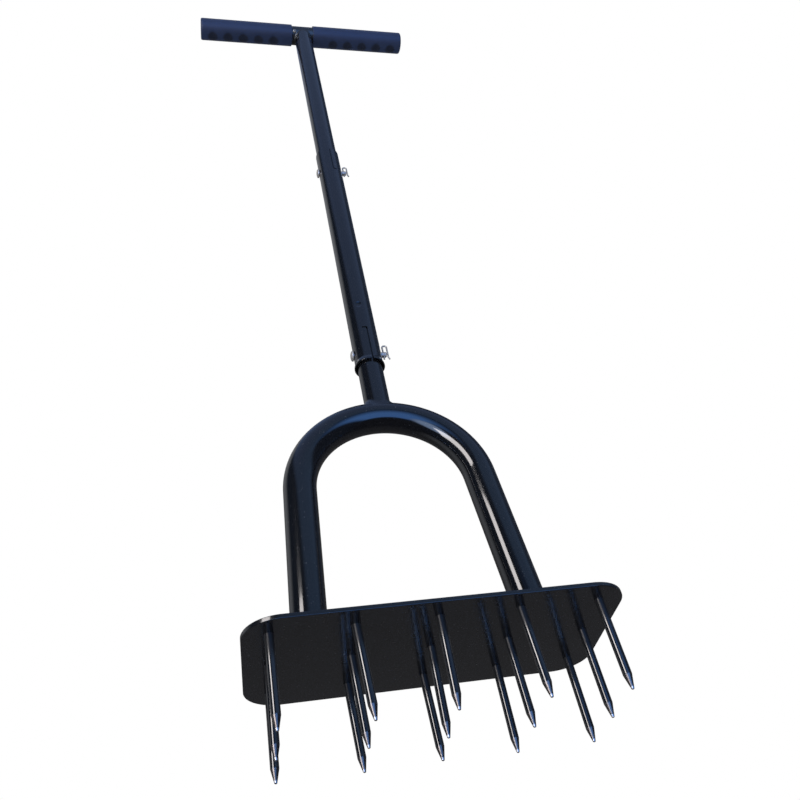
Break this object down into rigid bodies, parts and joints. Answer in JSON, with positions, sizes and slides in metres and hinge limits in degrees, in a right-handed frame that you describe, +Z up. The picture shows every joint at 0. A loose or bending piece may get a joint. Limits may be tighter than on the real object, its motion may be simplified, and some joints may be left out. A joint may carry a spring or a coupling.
{
  "type": "manual lawn aerator",
  "caption": "Step-on lawn aerator: spiked steel plate under a bent tube bow, take-apart tube pole with lock pins, and a T-handle with moulded grips.",
  "frame": {"origin": "on the pole's axis, level with the tips of the spikes", "axes": "+Z up along the pole, +X to the right along the plate and the T-handle, -Y to the front, where the slits of the middle tube face"},
  "size_m": [0.3058, 0.146, 1.112],
  "materials": {
    "black_paint": "glossy near-black stove enamel on steel",
    "grip_rubber": "matte moulded rubber",
    "zinc_plate": "bright zinc plate on steel"
  },
  "bodies": {
    "root": {"spike_plate": "black_paint", "spike_1_1": "black_paint", "spike_1_2": "black_paint", "spike_1_3": "black_paint", "spike_2_1": "black_paint", "spike_2_2": "black_paint", "spike_2_3": "black_paint", "spike_3_1": "black_paint", "spike_3_2": "black_paint", "spike_3_3": "black_paint", "spike_4_1": "black_paint", "spike_4_2": "black_paint", "spike_4_3": "black_paint", "spike_5_1": "black_paint", "spike_5_2": "black_paint", "spike_5_3": "black_paint", "spike_weld_1_1": "black_paint", "spike_weld_1_2": "black_paint", "spike_weld_1_3": "black_paint", "spike_weld_2_1": "black_paint", "spike_weld_2_2": "black_paint", "spike_weld_2_3": "black_paint", "spike_weld_3_1": "black_paint", "spike_weld_3_2": "black_paint", "spike_weld_3_3": "black_paint", "spike_weld_4_1": "black_paint", "spike_weld_4_2": "black_paint", "spike_weld_4_3": "black_paint", "spike_weld_5_1": "black_paint", "spike_weld_5_2": "black_paint", "spike_weld_5_3": "black_paint", "u_frame": "black_paint", "left_leg_weld": "black_paint", "right_leg_weld": "black_paint", "neck_stub": "black_paint", "neck_weld": "black_paint", "middle_tube": "black_paint", "upper_stem": "black_paint", "crossbar": "black_paint", "crossbar_weld": "black_paint", "left_grip": "grip_rubber", "right_grip": "grip_rubber", "handle_screw": "zinc_plate"},
    "lower_pin": {"lower_pin": "zinc_plate"},
    "lower_clip": {"lower_clip": "zinc_plate"},
    "upper_pin": {"upper_pin": "zinc_plate"},
    "upper_clip": {"upper_clip": "zinc_plate"}
  },
  "joints": [
    {"name": "lower_pin_turn", "type": "hinge", "parent": "root", "child": "lower_pin", "pos_m": [0, 0, 0.3992], "axis": [1, 0, 0], "continuous": true},
    {"name": "lower_clip_pull", "type": "slide", "parent": "lower_pin", "child": "lower_clip", "axis": [0, 0, 1], "range_m": [0, 0.03]},
    {"name": "upper_pin_turn", "type": "hinge", "parent": "root", "child": "upper_pin", "pos_m": [0, 0, 0.7265], "axis": [1, 0, 0], "continuous": true},
    {"name": "upper_clip_pull", "type": "slide", "parent": "upper_pin", "child": "upper_clip", "axis": [0, 0, 1], "range_m": [0, 0.03]}
  ]
}
